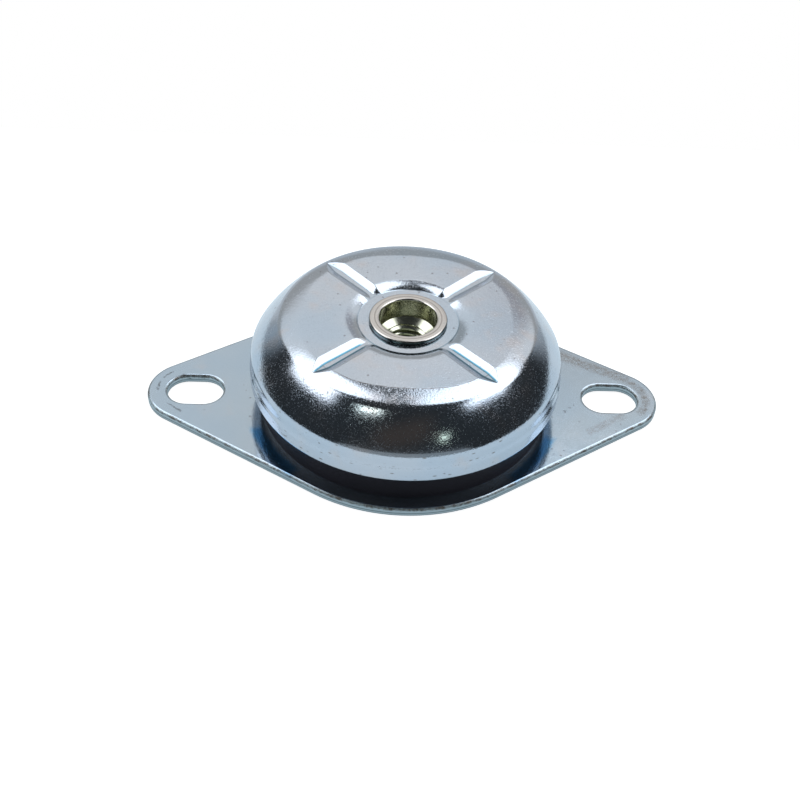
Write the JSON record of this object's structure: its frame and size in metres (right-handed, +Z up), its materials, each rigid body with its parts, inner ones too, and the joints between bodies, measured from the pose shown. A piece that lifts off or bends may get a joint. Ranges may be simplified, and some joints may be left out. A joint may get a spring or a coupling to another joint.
{
  "type": "vibration isolator",
  "caption": "Dome-shaped rubber-metal vibration isolator with a threaded centre bush, a captive rebound washer and a diamond base plate with slotted ears.",
  "frame": {"origin": "centre of the base plate's underside, on the axis of the threaded bush", "axes": "+Z up along the bush axis, out of the thread; +X along the base plate's long side, through both slots"},
  "size_m": [0.1228, 0.0762, 0.0257],
  "materials": {
    "plate_zinc": "pressed steel sheet, zinc plated and blue passivated",
    "cover_zinc": "deep-drawn steel sheet, zinc plated and blue passivated",
    "bush_zinc": "turned steel, zinc plated and yellow passivated",
    "washer_zinc": "stamped steel, zinc plated and blue passivated",
    "rubber": "moulded natural rubber, black, satin"
  },
  "bodies": {
    "base": {"base_plate": "plate_zinc", "rubber_element": "rubber"},
    "dome": {"dome_cover": "cover_zinc", "threaded_bush": "bush_zinc", "rebound_washer": "washer_zinc"}
  },
  "joints": [
    {"name": "dome_travel", "type": "slide", "parent": "base", "child": "dome", "axis": [0, 0, 1], "range_m": [-0.004, 0.0013], "stiffness_N_per_m": 300000, "deforming": ["rubber_element"]}
  ]
}
